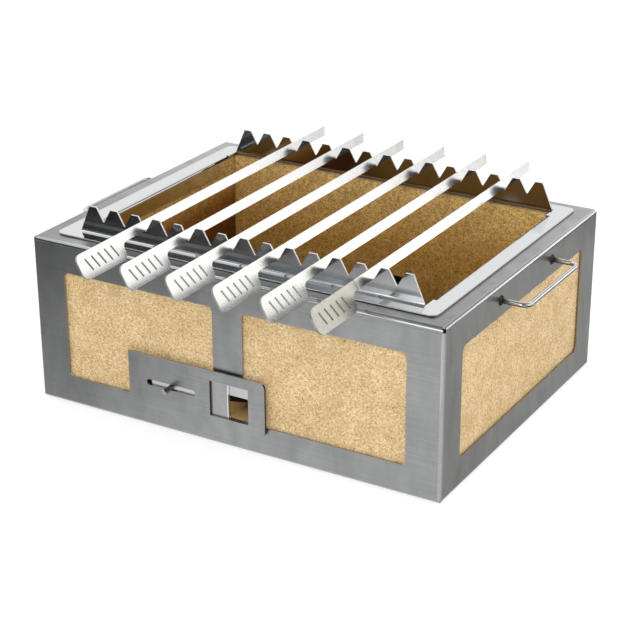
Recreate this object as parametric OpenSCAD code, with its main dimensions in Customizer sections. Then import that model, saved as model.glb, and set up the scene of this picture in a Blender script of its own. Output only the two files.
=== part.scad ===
// Konro grill: a table-top charcoal grill for flat skewers.
// A folded steel casing holds five insulating boards and a charcoal grate.
// A one-piece toothed frame lies on top and carries the skewers.
// Millimetres. +X is the right side, +Y the back and +Z up.
// The origin is the middle of the base plate's underside.

/* [Casing] */
// Width of the casing over its side walls
case_w = 455; // [425:1:520]
// Depth of the casing over its front and back walls
case_d = 350; // [320:1:390]
// Height of the casing's top above the table
case_h = 176; // [155:1:220]
// Thickness of the casing's steel sheet
case_t = 1.5; // [1:0.1:2]
// Outside radius of the casing's bends
case_bend_r = 4; // [2.5:0.5:5]
// Width of the flange that the casing's walls turn in at the bottom
base_flange = 20; // [12:1:30]
// Thickness of the base plate
base_t = 1; // [0.8:0.1:2]
// How far the base plate's edge stays inside the casing's walls
base_inset = 6; // [4:0.5:10]
// Diameter of the relief where three bends meet at a top corner
corner_relief_d = 3.5; // [2:0.1:4]
// Height of that relief
corner_relief_h = 5; // [2:0.1:6]

/* [Windows] */
// Width of the sheet left at each upright corner of the casing
corner_post = 37; // [25:1:50]
// Width of the upright between two windows of the front or back
middle_post = 33; // [20:1:60]
// Height of the sheet left above and below the windows
window_rail = 31.5; // [28:0.5:36]
// Corner radius of the windows in front and back
front_window_r = 5; // [2:0.5:9]
// Corner radius of the windows in the sides
side_window_r = 7; // [2:0.5:9]

/* [Boards] */
// Thickness of the insulating boards
board_t = 30; // [24:1:34]
// Gap between the boards and the casing's walls and top
board_gap = 1.5; // [0.5:0.1:3]
// Open joint between a long board's end and the side boards
joint_gap = 2; // [0.5:0.1:3]

/* [Vents] */
// Place of the vent holes' middle, right of the casing's middle
vent_x = 12.5; // [0:0.5:40]
// Width of a vent hole
vent_w = 25; // [18:0.5:30]
// Height of a vent hole above the floor board
vent_h = 24.5; // [18:0.5:27]
// Play of a board's tunnel beside the vent hole, and above the cover's window
tunnel_play = 0.5; // [0.3:0.1:1]

/* [Vent covers] */
// Length of a vent cover
cover_w = 156.5; // [150:0.5:175]
// Height of a vent cover
cover_h = 57; // [54:0.5:62]
// Thickness of a vent cover
cover_t = 2; // [1.5:0.1:3]
// Corner radius of the cover's right end
cover_r = 6; // [2:0.5:12]
// How far the cover reaches below its window
cover_foot = 9.5; // [8:0.5:12]
// Sheet left between the window and the cover's right end
cover_end = 18.4; // [14:0.1:24]
// Width of the cover's window
cover_window_w = 43.5; // [34:0.5:48]
// Height of the cover's window
cover_window_h = 37; // [30:0.5:40]
// Sheet left between the window and the slot
slot_land = 17; // [8:0.1:22]
// Height of the two strips that guide the shutter
strip_h = 4.5; // [3:0.1:5]
// How far the strips end before the cover's ends
strip_inset = 6; // [3:0.5:12]
// How far the casing's sheet behind a cover ends before the cover's edges
panel_inset = 3.5; // [3:0.1:4]

/* [Vent shutters] */
// Thickness of a shutter
shutter_t = 2; // [1.5:0.1:3]
// How far a shutter reaches over the edges of what it closes
shutter_lap = 1.2; // [0.8:0.1:1.5]
// Length of a shutter left of its stud
shutter_tail = 23.5; // [8:0.5:23.5]
// Running gap round a shutter
slide_gap = 0.3; // [0.2:0.05:0.5]
// Diameter of a stud
stud_d = 5.5; // [4:0.5:7]
// Gap between a stud and its slot
stud_gap = 0.4; // [0.2:0.05:1]
// Length of a stud in front of its shutter
stud_l = 15; // [8:0.5:20]
// Chamfer at a stud's end
stud_chamfer = 0.6; // [0.3:0.1:1]

/* [Handles] */
// Diameter of the handle rod
rod_d = 5; // [4:0.5:8]
// Distance between the middles of a handle's legs
rod_spread = 118; // [90:1:150]
// Distance from the casing to the middle of the rod
rod_reach = 27.5; // [20:0.5:40]
// Bend radius of the rod at its middle
rod_bend_r = 8; // [5:0.5:14]
// Diameter of the weld round a leg, at the casing
weld_d = 8.5; // [8.2:0.1:12]
// Height of the weld round a leg
weld_h = 1.6; // [1:0.1:3]

/* [Skewer frame] */
// Thickness of the frame's sheet
frame_t = 2; // [1.5:0.1:2.5]
// Sheet of the casing left free beside the frame
frame_side_margin = 17.5; // [8:0.5:20]
// Sheet of the casing left free in front of the frame
frame_front_margin = 16; // [6:0.5:18]
// Outer corner radius of the frame
frame_corner_r = 8; // [3:0.5:14]
// Inside radius of the frame's bends
frame_bend_r = 2.5; // [1:0.1:3]
// Height of the skirts, from the frame's top face down
skirt_h = 18; // [12:0.5:26]
// How far the skirts end before the rails
skirt_relief = 15; // [8:0.5:30]
// Gap between a skirt and the side board
skirt_gap = 1.5; // [1:0.1:4]
// How far the rails stand inside the front and back boards
rail_set = 1; // [0.5:0.1:4]

/* [Toothed rails] */
// Distance from tooth to tooth
tooth_pitch = 25; // [24:0.5:26.5]
// Width of a tooth's flat top
tooth_top = 8; // [5:0.5:9.5]
// Width of a notch's flat bottom
notch_floor = 1; // [0.5:0.1:2]
// Depth of a notch
notch_depth = 14; // [12.5:0.5:18]
// Height of the rails above the frame's top face
rail_h = 27.5; // [24:0.5:34]
// Least slope length left at each end of a rail, measured along it
rail_end_run = 8; // [4:0.5:10]

/* [Skewers] */
// Length of a skewer over all
skewer_l = 460; // [430:1:500]
// How far a skewer's handle reaches in front of the casing
skewer_out = 75.5; // [75:0.5:95]
// Width of the blade
blade_w = 9.5; // [7:0.5:12]
// Thickness of the skewer's sheet
blade_t = 2; // [1.5:0.1:2.5]
// How much further the blade's upper edge reaches at the tip
tip_run = 8; // [4:0.5:14]
// Length of the handle plate
plate_l = 67.5; // [60:0.5:72]
// Height of the handle plate
plate_h = 25.5; // [20:0.5:26.5]
// Corner radius of the handle plate
plate_r = 8; // [3:0.5:9]
// Radius of the hollow between plate and blade
neck_r = 7; // [3:0.5:9]
// Width of a cooling slot in the handle plate
plate_slot_w = 2.4; // [1.5:0.1:3.5]
// Length of a cooling slot
plate_slot_l = 14; // [10:0.5:16]
// Distance between cooling slots
plate_slot_pitch = 10; // [8:0.5:11]
// Number of cooling slots
plate_slots = 5; // [3:1:5]
// Gap between a skewer and the notch that it leans in
rest_gap = 0.3; // [0.2:0.05:0.5]

/* [Charcoal grate] */
// Height of the grate's top above the floor board
grate_h = 12; // [11:0.5:30]
// Gap between the grate and the edges that it lifts out between
grate_play = 2; // [1:0.1:6]
// Height of the flat bars of the grate's frame
grate_bar_h = 9; // [8:0.5:10]
// Thickness of those flat bars
grate_bar_t = 3; // [2:0.1:5]
// Width of a leg
leg_w = 15; // [8:0.5:25]
// Diameter of the grate's rods
grate_rod_d = 5; // [4:0.5:7]
// Distance from rod to rod
grate_rod_pitch = 16; // [12:0.5:22]

/* [Hidden] */
$fn = 64;

// Every cut runs this far past the faces that it opens
over = 1;
steel = "#8d8e8f";
bright_steel = "#d5d8da";
skewer_steel = "#e9e9e6";
grate_steel = "#55524e";
board_tan = "#cba775";

// Levels above the table
floor_z = base_t + case_t;
floor_top = floor_z + board_t;
board_top = case_h - case_t - board_gap;
frame_low = case_h;
frame_top = frame_low + frame_t;
grate_top = floor_top + grate_h;

// The chamber between the boards, and the frame's mouth above it
inner_w = case_w - 2 * case_t;
inner_d = case_d - 2 * case_t;
chamber_w = inner_w - 2 * (board_gap + board_t);
chamber_d = inner_d - 2 * (board_gap + board_t);
mouth_w = chamber_w - 2 * (skirt_gap + frame_t);
mouth_d = chamber_d - 2 * rail_set;
frame_w = case_w - 2 * frame_side_margin;
frame_d = case_d - 2 * frame_front_margin;
fold = frame_t + frame_bend_r;
opening_w = mouth_w + 2 * fold;
opening_d = mouth_d + 2 * fold;
opening_r = 2 * case_t;
bend_inner_r = case_bend_r - case_t;

// Windows
window_h = case_h - 2 * window_rail;
window_z = case_h / 2;
front_window_w = (case_w - middle_post) / 2 - corner_post;
front_window_x = (middle_post + front_window_w) / 2;
side_window_w = case_d - 2 * corner_post;

// Vents: the front shutter stands open, in the middle of its slot, and the back one is closed.
// A shutter travels by the width of its hole to either side of the slot's middle
vent_right = vent_x + vent_w / 2;
vent_left = vent_x - vent_w / 2;
vent_travel = vent_w;
vent_r = case_t;
cover_right = vent_right + cover_end;
cover_left = cover_right - cover_w;
cover_low = floor_top - cover_foot;
cover_window_x = vent_right - cover_window_w / 2;
cover_window_z = floor_top + cover_window_h / 2;
slot_w = stud_d + 2 * stud_gap;
slot_l = 2 * vent_travel + slot_w;
stud_x = vent_right - cover_window_w - slot_land - slot_l / 2;
strip_t = shutter_t + 2 * slide_gap;
strip_l = cover_w - 2 * strip_inset;
shutter_h = cover_window_h + 2 * shutter_lap;
shutter_right = vent_left + shutter_lap;
shutter_left = stud_x - shutter_tail;
case_front = -case_d / 2;
cover_back = case_front - strip_t;
shutter_front = cover_back + slide_gap;

// Toothed rails: as many notches as the mouth's width holds
notch_count = floor((mouth_w - tooth_top - 2 * rail_end_run) / tooth_pitch);
flank_run = (tooth_pitch - tooth_top - notch_floor) / 2;
lean = atan2(flank_run, notch_depth);
notch_z = frame_top + rail_h - notch_depth;

// Skewers lean on a notch's left flank, in every second notch, or closer on a short rail
skewer_count = 6;
notch_step = min(2, floor((notch_count - 1) / (skewer_count - 1)));
first_notch = ceil((notch_count - 1 - notch_step * (skewer_count - 1)) / 2);
// Where the blade's lower edge comes to rest between the two flanks, along the left flank
blade_rise = max(rest_gap, ((rest_gap + blade_t) * cos(2 * lean) / cos(lean)
    + rest_gap / cos(lean) - notch_floor) / (2 * sin(lean)));
slot_slant = 20;

// Charcoal grate
grate_w = mouth_w - 2 * grate_play;
grate_d = mouth_d - 2 * grate_play;
grate_rods_n = floor((grate_d - 2 * grate_bar_t - grate_rod_d) / grate_rod_pitch);

// A rectangle with round corners, about its middle
module round_rect(w, h, r) {
    union() {
        square([w, h - 2 * r], center = true);
        square([w - 2 * r, h], center = true);
        for (sx = [-1, 1], sy = [-1, 1])
            translate([sx * (w / 2 - r), sy * (h / 2 - r)])
                circle(r);
    }
}

// A slot with round ends along x, about its middle
module round_slot(l, w) {
    union() {
        square([l - w, w], center = true);
        for (side = [-1, 1])
            translate([side * (l - w) / 2, 0])
                circle(w / 2);
    }
}

// A box whose twelve edges are rounded like bends in sheet
module bent_box(w, d, z_low, z_high, r) {
    h = z_high - z_low;
    z_mid = (z_low + z_high) / 2;
    intersection() {
        translate([0, 0, z_low])
            linear_extrude(h)
                round_rect(w, d, r);
        translate([0, 0, z_mid])
            rotate([90, 0, 0])
                linear_extrude(d, center = true)
                    round_rect(w, h, r);
        translate([0, 0, z_mid])
            rotate([90, 0, 90])
                linear_extrude(w, center = true)
                    round_rect(d, h, r);
    }
}

// The windows of the front and back. The sheet stays whole behind the vent covers
module long_windows() {
    rotate([90, 0, 0])
        linear_extrude(case_d + 2 * over, center = true)
            difference() {
                for (side = [-1, 1])
                    translate([side * front_window_x, window_z])
                        round_rect(front_window_w, window_h, front_window_r);
                translate([cover_left + panel_inset, 0])
                    square([cover_w - 2 * panel_inset, cover_low + cover_h - panel_inset]);
            }
}

// A round relief at each top corner, where the bends meet
module corner_reliefs() {
    inset = case_bend_r / 2;
    for (sx = [-1, 1], sy = [-1, 1])
        translate([sx * (case_w / 2 - inset), sy * (case_d / 2 - inset), case_h - corner_relief_h])
            cylinder(h = corner_relief_h + over, d = corner_relief_d);
}

// The casing: one sheet shell, open at the top and bottom, with windows on all four sides
module outer_casing() {
    color(steel)
        difference() {
            bent_box(case_w, case_d, base_t, case_h, case_bend_r);
            bent_box(inner_w, inner_d, floor_z, case_h - case_t, bend_inner_r);
            translate([0, 0, case_h - case_t - over])
                linear_extrude(case_t + 2 * over)
                    round_rect(opening_w, opening_d, opening_r);
            translate([0, 0, base_t - over])
                linear_extrude(case_t + 2 * over)
                    round_rect(case_w - 2 * base_flange, case_d - 2 * base_flange, opening_r);
            long_windows();
            corner_reliefs();
            translate([0, 0, window_z])
                rotate([90, 0, 90])
                    linear_extrude(case_w + 2 * over, center = true)
                        round_rect(side_window_w, window_h, side_window_r);
            translate([vent_x, 0, floor_top + vent_h / 2])
                rotate([90, 0, 0])
                    linear_extrude(case_d + 2 * over, center = true)
                        round_rect(vent_w, vent_h, vent_r);
        }
}

// The base plate closes the casing from below
module base_plate() {
    color(steel)
        linear_extrude(base_t)
            round_rect(case_w - 2 * base_inset, case_d - 2 * base_inset, case_bend_r);
}

// A board: the part of the lining's block that lies in a box about x, y and between two levels.
// The block's edges are eased to clear the casing's bends
module board(x, y, w, d, z_low, z_high) {
    color(board_tan)
        intersection() {
            bent_box(inner_w - 2 * board_gap, inner_d - 2 * board_gap, floor_z, board_top, bend_inner_r);
            translate([x, y, (z_low + z_high) / 2])
                cube([w, d, z_high - z_low], center = true);
        }
}

// The floor board lies on the casing's bottom flange
module floor_board() {
    board(0, 0, inner_w, inner_d, floor_z, floor_top);
}

// A side board, standing on the floor board, as deep as the casing
module side_board(side) {
    board(side * (inner_w / 2 - board_gap - board_t / 2), 0, board_t, inner_d, floor_top, board_top);
}

// A long board of the front (side -1) or the back (side 1), between the two side boards
module long_board(side) {
    board(0, side * (inner_d / 2 - board_gap - board_t / 2), chamber_w - 2 * joint_gap, board_t,
        floor_top, board_top);
}

// The front and back boards have a vent's tunnel at the foot
module vented_board(side) {
    tunnel_h = cover_window_h + tunnel_play;
    board_y = inner_d / 2 - board_gap - board_t / 2;
    difference() {
        long_board(side);
        translate([vent_x, side * board_y, floor_top + (tunnel_h - over) / 2])
            cube([vent_w + 2 * tunnel_play, board_t + 2 * over, tunnel_h + over], center = true);
    }
}

// The strips keep a cover off the casing and guide the shutter's upper and lower edges.
// Strips, cover, shutter and stud are drawn at the front, and mirrored they are the back vent's
module guide_strip(z) {
    color(steel)
        translate([cover_left + strip_inset, cover_back, z])
            cube([strip_l, strip_t, strip_h]);
}

module lower_guide_strip() {
    guide_strip(cover_window_z - shutter_h / 2 - slide_gap - strip_h);
}

module upper_guide_strip() {
    guide_strip(cover_window_z + shutter_h / 2 + slide_gap);
}

// The cover: square at its left end, rounded at its right, with a window and a slot
module vent_cover() {
    cover_mid_x = (cover_left + cover_right) / 2;
    color(steel)
        translate([0, cover_back, 0])
            rotate([90, 0, 0])
                linear_extrude(cover_t)
                    difference() {
                        union() {
                            translate([cover_mid_x, cover_low + cover_h / 2])
                                round_rect(cover_w, cover_h, cover_r);
                            translate([cover_left, cover_low])
                                square([cover_w / 2, cover_h]);
                        }
                        translate([cover_window_x, cover_window_z])
                            square([cover_window_w, cover_window_h], center = true);
                        translate([stud_x, cover_window_z])
                            round_slot(slot_l, slot_w);
                    }
}

// A shutter slides behind its cover, and its stud stands out through the slot.
// The shift is how far both stand right of the slot's middle
module vent_shutter(shift) {
    color(steel)
        translate([shutter_left + shift, shutter_front, cover_window_z - shutter_h / 2])
            cube([shutter_right - shutter_left, shutter_t, shutter_h]);
}

module shutter_stud(shift) {
    color(bright_steel)
        translate([stud_x + shift, shutter_front, cover_window_z])
            rotate([90, 0, 0])
                union() {
                    cylinder(h = stud_l - stud_chamfer, d = stud_d);
                    translate([0, 0, stud_l - stud_chamfer])
                        cylinder(h = stud_chamfer, d1 = stud_d, d2 = stud_d - 2 * stud_chamfer);
                }
}

// One leg of a handle, from the right wall outwards, with its weld and its bend
module handle_leg() {
    leg_l = rod_reach - rod_bend_r;
    rotate([0, 90, 0])
        union() {
            cylinder(h = leg_l, d = rod_d);
            cylinder(h = weld_h, d1 = weld_d, d2 = rod_d);
        }
    translate([leg_l, rod_bend_r, 0])
        rotate([0, 0, -90])
            rotate_extrude(angle = 90)
                translate([rod_bend_r, 0])
                    circle(d = rod_d);
}

// A handle: a rod bent into a bracket and welded to the side's upper rail
module handle() {
    color(bright_steel)
        translate([case_w / 2, 0, case_h - window_rail / 2])
            union() {
                translate([0, -rod_spread / 2, 0])
                    handle_leg();
                mirror([0, 1, 0])
                    translate([0, -rod_spread / 2, 0])
                        handle_leg();
                translate([rod_reach, 0, 0])
                    rotate([90, 0, 0])
                        cylinder(h = rod_spread - 2 * rod_bend_r, d = rod_d, center = true);
            }
}

module right_handle() {
    handle();
}

module left_handle() {
    mirror([1, 0, 0])
        handle();
}

// The grate's frame: four flat bars on edge, a middle bar under the rods and four legs
module grate_frame() {
    bar_low = grate_top - grate_bar_h;
    color(grate_steel)
        union() {
            for (side = [-1, 1]) {
                translate([side * (grate_w - grate_bar_t) / 2, 0, bar_low + grate_bar_h / 2])
                    cube([grate_bar_t, grate_d, grate_bar_h], center = true);
                translate([0, side * (grate_d - grate_bar_t) / 2, bar_low + grate_bar_h / 2])
                    cube([grate_w, grate_bar_t, grate_bar_h], center = true);
            }
            translate([-grate_bar_t / 2, -grate_d / 2, bar_low])
                cube([grate_bar_t, grate_d, grate_bar_h - grate_rod_d]);
            for (sx = [-1, 1], sy = [-1, 1])
                translate([sx * (grate_w - grate_bar_t) / 2, sy * (grate_d - leg_w) / 2,
                    (floor_top + grate_top) / 2])
                    cube([grate_bar_t, leg_w, grate_h], center = true);
        }
}

// The rods that carry the charcoal
module grate_rods() {
    rod_l = grate_w - 2 * grate_bar_t;
    color(grate_steel)
        for (i = [0 : grate_rods_n])
            translate([0, (i - grate_rods_n / 2) * grate_rod_pitch, grate_top - grate_rod_d / 2])
                rotate([0, 90, 0])
                    cylinder(h = rod_l, d = grate_rod_d, center = true);
}

// A folded edge in the plane of its section: a short lap with the flange from x = fold on,
// a quarter bend, and a web that stands on the bend with its free face at x = 0
module fold_section(rise) {
    union() {
        translate([fold, 0])
            square(frame_t);
        translate([0, fold])
            square([frame_t, rise - fold]);
        intersection() {
            square(fold);
            translate([fold, fold])
                difference() {
                    circle(fold);
                    circle(frame_bend_r);
                }
        }
    }
}

// The outline of a toothed rail, seen from the front, from its foot up
module tooth_outline() {
    half = notch_count * tooth_pitch / 2 + tooth_top / 2;
    full = frame_t + rail_h;
    notches = [for (i = [0 : notch_count - 1])
        let (x = (i - (notch_count - 1) / 2) * tooth_pitch)
        each [[x - notch_floor / 2 - flank_run, full],
            [x - notch_floor / 2, full - notch_depth],
            [x + notch_floor / 2, full - notch_depth],
            [x + notch_floor / 2 + flank_run, full]]];
    polygon(concat([[-mouth_w / 2, 0], [-mouth_w / 2, frame_t], [-half, full]], notches,
        [[half, full], [mouth_w / 2, frame_t], [mouth_w / 2, 0]]));
}

// The front rail, as folded up from the sheet
module front_rail() {
    intersection() {
        translate([0, -mouth_d / 2, frame_low])
            rotate([90, 0, -90])
                linear_extrude(mouth_w, center = true)
                    fold_section(frame_t + rail_h);
        translate([0, 0, frame_low])
            rotate([90, 0, 0])
                linear_extrude(frame_d, center = true)
                    tooth_outline();
    }
}

// A skirt, folded down at the mouth's right side
module right_skirt() {
    skirt_l = mouth_d - 2 * skirt_relief;
    translate([mouth_w / 2, 0, frame_top])
        rotate([90, 0, 0])
            linear_extrude(skirt_l, center = true)
                mirror([0, 1])
                    fold_section(skirt_h);
}

// The skewer frame: one sheet with the two toothed rails and the two skirts
module skewer_frame() {
    color(bright_steel)
        union() {
            translate([0, 0, frame_low])
                linear_extrude(frame_t)
                    difference() {
                        round_rect(frame_w, frame_d, frame_corner_r);
                        square([mouth_w, opening_d], center = true);
                        square([opening_w, mouth_d - 2 * skirt_relief], center = true);
                    }
            front_rail();
            mirror([0, 1, 0])
                front_rail();
            right_skirt();
            mirror([1, 0, 0])
                right_skirt();
        }
}

// A skewer's outline: along the blade from the handle's end, and up from the blade's lower edge
module skewer_outline() {
    plate_low = blade_w - plate_h;
    difference() {
        union() {
            polygon([[plate_l / 2, 0], [skewer_l - tip_run, 0], [skewer_l, blade_w],
                [plate_l / 2, blade_w]]);
            translate([plate_l / 2, plate_low + plate_h / 2])
                round_rect(plate_l, plate_h, plate_r);
            translate([plate_l / 2, 0])
                square([plate_l / 2, blade_w]);
            difference() {
                translate([plate_l - plate_r, -neck_r])
                    square([plate_r + neck_r, neck_r]);
                translate([plate_l + neck_r, -neck_r])
                    circle(neck_r);
            }
        }
        for (i = [0 : plate_slots - 1])
            translate([plate_l / 2 + (i - (plate_slots - 1) / 2) * plate_slot_pitch,
                plate_low + plate_h / 2])
                rotate(90 + slot_slant)
                    round_slot(plate_slot_l, plate_slot_w);
    }
}

// Skewer number n, leaning on the left flank of its notches
module skewer(n) {
    notch = first_notch + notch_step * (n - 1);
    notch_x = (notch - (notch_count - 1) / 2) * tooth_pitch;
    color(skewer_steel)
        translate([notch_x - notch_floor / 2, case_front - skewer_out, notch_z])
            rotate([0, -lean, 0])
                translate([rest_gap, 0, blade_rise])
                    rotate([90, 0, 90])
                        linear_extrude(blade_t)
                            skewer_outline();
}

outer_casing();
base_plate();
floor_board();
vented_board(-1);  // front_board
vented_board(1);  // back_board
side_board(-1);  // left_board
side_board(1);  // right_board
lower_guide_strip();
upper_guide_strip();
vent_cover();
vent_shutter(0);
shutter_stud(0);
mirror([0, 1, 0]) lower_guide_strip();  // back_lower_guide_strip
mirror([0, 1, 0]) upper_guide_strip();  // back_upper_guide_strip
mirror([0, 1, 0]) vent_cover();  // back_vent_cover
mirror([0, 1, 0]) vent_shutter(vent_travel);  // back_vent_shutter
mirror([0, 1, 0]) shutter_stud(vent_travel);  // back_shutter_stud
left_handle();
right_handle();
grate_frame();
grate_rods();
skewer_frame();
for (n = [1 : skewer_count])
    skewer(n);
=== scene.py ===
# %% [markdown]
# # A konro grill: brushed and polished steel round a box of mineral board
#
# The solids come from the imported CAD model, which is the fixed frame here. This lesson gives them light, a
# camera and finishes, and adds the small things that a welder leaves. Every piece rides on a body of the frame,
# so one script looks right at every pose of the shutter, the grate, the toothed frame and the skewers.

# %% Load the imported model
import math

import bpy
import numpy as np
from mathutils import Matrix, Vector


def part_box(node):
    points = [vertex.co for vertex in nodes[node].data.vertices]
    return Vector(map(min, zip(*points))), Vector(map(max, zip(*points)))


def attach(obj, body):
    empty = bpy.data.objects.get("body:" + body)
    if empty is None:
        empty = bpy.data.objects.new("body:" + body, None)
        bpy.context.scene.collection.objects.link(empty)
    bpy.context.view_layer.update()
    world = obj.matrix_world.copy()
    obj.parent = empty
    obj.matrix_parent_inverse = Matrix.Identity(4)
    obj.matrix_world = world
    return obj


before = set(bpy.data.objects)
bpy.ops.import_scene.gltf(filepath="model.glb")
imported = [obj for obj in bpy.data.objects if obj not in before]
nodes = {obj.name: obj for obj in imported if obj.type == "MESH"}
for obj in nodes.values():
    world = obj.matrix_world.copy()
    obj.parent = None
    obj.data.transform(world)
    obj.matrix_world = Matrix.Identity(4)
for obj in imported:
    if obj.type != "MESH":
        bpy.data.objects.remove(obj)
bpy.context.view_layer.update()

# %% [markdown]
# ## Colours and nodes
#
# A colour is easiest to read off as sRGB hex, but a shader works with linear light. One function turns the first
# into the second. One more adds a node with its settings and links, so a material reads as a list of its parts.

# %% Two helpers
MM = 0.001


def linear(code):
    """Linear red, green, blue and alpha of an sRGB hex colour: c / 12.92 below 0.04045, and otherwise
    ((c + 0.055) / 1.055) to the power 2.4."""
    share = np.array([int(code[i:i + 2], 16) for i in (1, 3, 5)]) / 255
    light = np.where(share <= 0.04045, share / 12.92, ((share + 0.055) / 1.055) ** 2.4)
    return (*light.tolist(), 1.0)


def add(tree, kind, sockets=None, stops=None, **settings):
    """Adds a node. Settings are its properties, and stops the (place, colour) pairs of a colour ramp. Sockets
    are its inputs, by name or number: a value, a hex colour, or the output of another node."""
    node = tree.nodes.new(kind)
    for name, value in settings.items():
        setattr(node, name, value)
    for place, code in (stops or ())[2:]:
        node.color_ramp.elements.new(place)
    for element, (place, code) in zip(node.color_ramp.elements if stops else (), stops or ()):
        element.position = place
        element.color = linear(code)
    for name, value in (sockets or {}).items():
        if isinstance(value, bpy.types.NodeSocket):
            tree.links.new(value, node.inputs[name])
        else:
            node.inputs[name].default_value = linear(value) if isinstance(value, str) else value
    return node


print("steel grey", [round(c, 3) for c in linear("#8d8e8f")])

# %% [markdown]
# ## The camera
#
# The view is the one at which the casing's corners, the window edges and the teeth fall where they do in the
# picture. It stands to the right of the front, a little above, with a long lens. The lens is given in pixels of
# the 630 pixel frame, and the camera's axes are written out from the three angles.

# %% Camera
FRAME_PX = 630
SENSOR_MM = 36
LENS_PX = 1776.1
azimuth, elevation, roll = np.radians([30.4068, 23.5186, -0.2005])
stand = np.array([843.24, -1447.94, 803.16]) * MM

back = np.array([np.sin(azimuth) * np.cos(elevation), -np.cos(azimuth) * np.cos(elevation), np.sin(elevation)])
level = np.cross(-back, [0, 0, 1])
level /= np.linalg.norm(level)
upright = np.cross(level, -back)
right = np.cos(roll) * level + np.sin(roll) * upright
above = np.cos(roll) * upright - np.sin(roll) * level

camera = bpy.data.objects.new("camera", bpy.data.cameras.new("camera"))
camera.data.sensor_width = SENSOR_MM
camera.data.lens = LENS_PX / FRAME_PX * SENSOR_MM
camera.data.clip_start = 0.05
camera.data.clip_end = 60
turn = np.eye(4)
turn[:3, 0], turn[:3, 1], turn[:3, 2], turn[:3, 3] = right, above, back, stand
camera.matrix_world = Matrix(turn.tolist())
bpy.context.scene.collection.objects.link(camera)
bpy.context.scene.camera = camera
print("lens", round(camera.data.lens, 1), "mm, stands", np.round(stand, 3))

# %% [markdown]
# ## The studio
#
# The floor and the cards of this studio are rectangles, lying or standing. None of them belongs to the grill.
# The floor lies 0.4 mm under the base, which keeps the two faces apart.

# %% Flat sheets
CARD_LIFT = 1.2 * MM
scene = bpy.context.scene


def lying(x, y, z=CARD_LIFT):
    """The four corners of a level rectangle, from its two ranges and its height."""
    return [(x[0], y[0], z), (x[1], y[0], z), (x[1], y[1], z), (x[0], y[1], z)]


def standing(x, z, y):
    """The four corners of an upright rectangle across the view, from its two ranges and its place along y."""
    return [(x[0], y, z[0]), (x[1], y, z[0]), (x[1], y, z[1]), (x[0], y, z[1])]


def flat_sheet(name, corners):
    """A sheet of one face, from its four corners."""
    mesh = bpy.data.meshes.new(name)
    mesh.from_pydata(corners, [], [(0, 1, 2, 3)])
    sheet = bpy.data.objects.new(name, mesh)
    scene.collection.objects.link(sheet)
    return sheet


print("cards lie", round(CARD_LIFT * 1000, 1), "mm above the ground")

# %% [markdown]
# Steel shows what stands round it more than it shows its own colour. The room is white, as the picture's ground
# is: rays that reach the world or the floor straight from the camera, or by a gloss, meet white. Other rays meet
# a softer level, so that pale boards don't burn out. The floor keeps part of its light for the lamps, and this
# part carries the grill's shadow.

# %% World and floor
ROOM_LEVEL = 0.72
FLOOR_REACH = (-12, 12)
FLOOR_DROP = 0.4 * MM
PLAIN_PAPER = (0.75, 0.75, 0.75, 1)
LAMP_PAPER = (0.38, 0.38, 0.38, 1)
PAPER_GLOW = 0.72
scene.view_settings.view_transform = "Standard"


def meets_white(tree):
    """1 for a ray that comes straight from the camera, by a gloss or through glass, else 0."""
    path = add(tree, "ShaderNodeLightPath")
    seen = add(tree, "ShaderNodeMath", {0: path.outputs["Is Camera Ray"], 1: path.outputs["Is Glossy Ray"]},
               operation="MAXIMUM")
    return add(tree, "ShaderNodeMath", {0: seen.outputs[0], 1: path.outputs["Is Transmission Ray"]},
               operation="MAXIMUM").outputs[0]


world = bpy.data.worlds.new("white_room")
world.use_nodes = True
tree = world.node_tree
tree.nodes.clear()
level_now = add(tree, "ShaderNodeMapRange", {"Value": meets_white(tree), "To Min": ROOM_LEVEL, "To Max": 1.0})
ground = add(tree, "ShaderNodeBackground", {"Color": "#ffffff", "Strength": level_now.outputs[0]})
add(tree, "ShaderNodeOutputWorld", {"Surface": ground.outputs[0]})
scene.world = world

floor = flat_sheet("floor", lying(FLOOR_REACH, FLOOR_REACH, -FLOOR_DROP))
paper = bpy.data.materials.new("white_paper_floor")
paper.use_nodes = True
tree = paper.node_tree
tree.nodes.clear()
plain = add(tree, "ShaderNodeBsdfDiffuse", {"Color": PLAIN_PAPER})
shaded = add(tree, "ShaderNodeBsdfDiffuse", {"Color": LAMP_PAPER})
glow = add(tree, "ShaderNodeEmission", {"Color": "#ffffff", "Strength": PAPER_GLOW})
lit = add(tree, "ShaderNodeAddShader", {0: shaded.outputs[0], 1: glow.outputs[0]})
both = add(tree, "ShaderNodeMixShader", {0: meets_white(tree), 1: plain.outputs[0], 2: lit.outputs[0]})
add(tree, "ShaderNodeOutputMaterial", {"Surface": both.outputs[0]})
floor.data.materials.append(paper)
print("white room, diffuse level", ROOM_LEVEL)

# %% [markdown]
# Brushed steel in a white room would be white too. A product studio puts cards round the metal, outside the
# picture, and the metal picks up their tone. Only glossy rays see the cards here, so the plain light on the
# boards stays as it is. A card's place follows from the mirror law: a ray from the camera is turned back at the
# face, and the card stands where that ray lands.

# %% A card for the metal to mirror
HIDDEN_FROM = ("camera", "diffuse", "transmission", "volume_scatter", "shadow")


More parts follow.
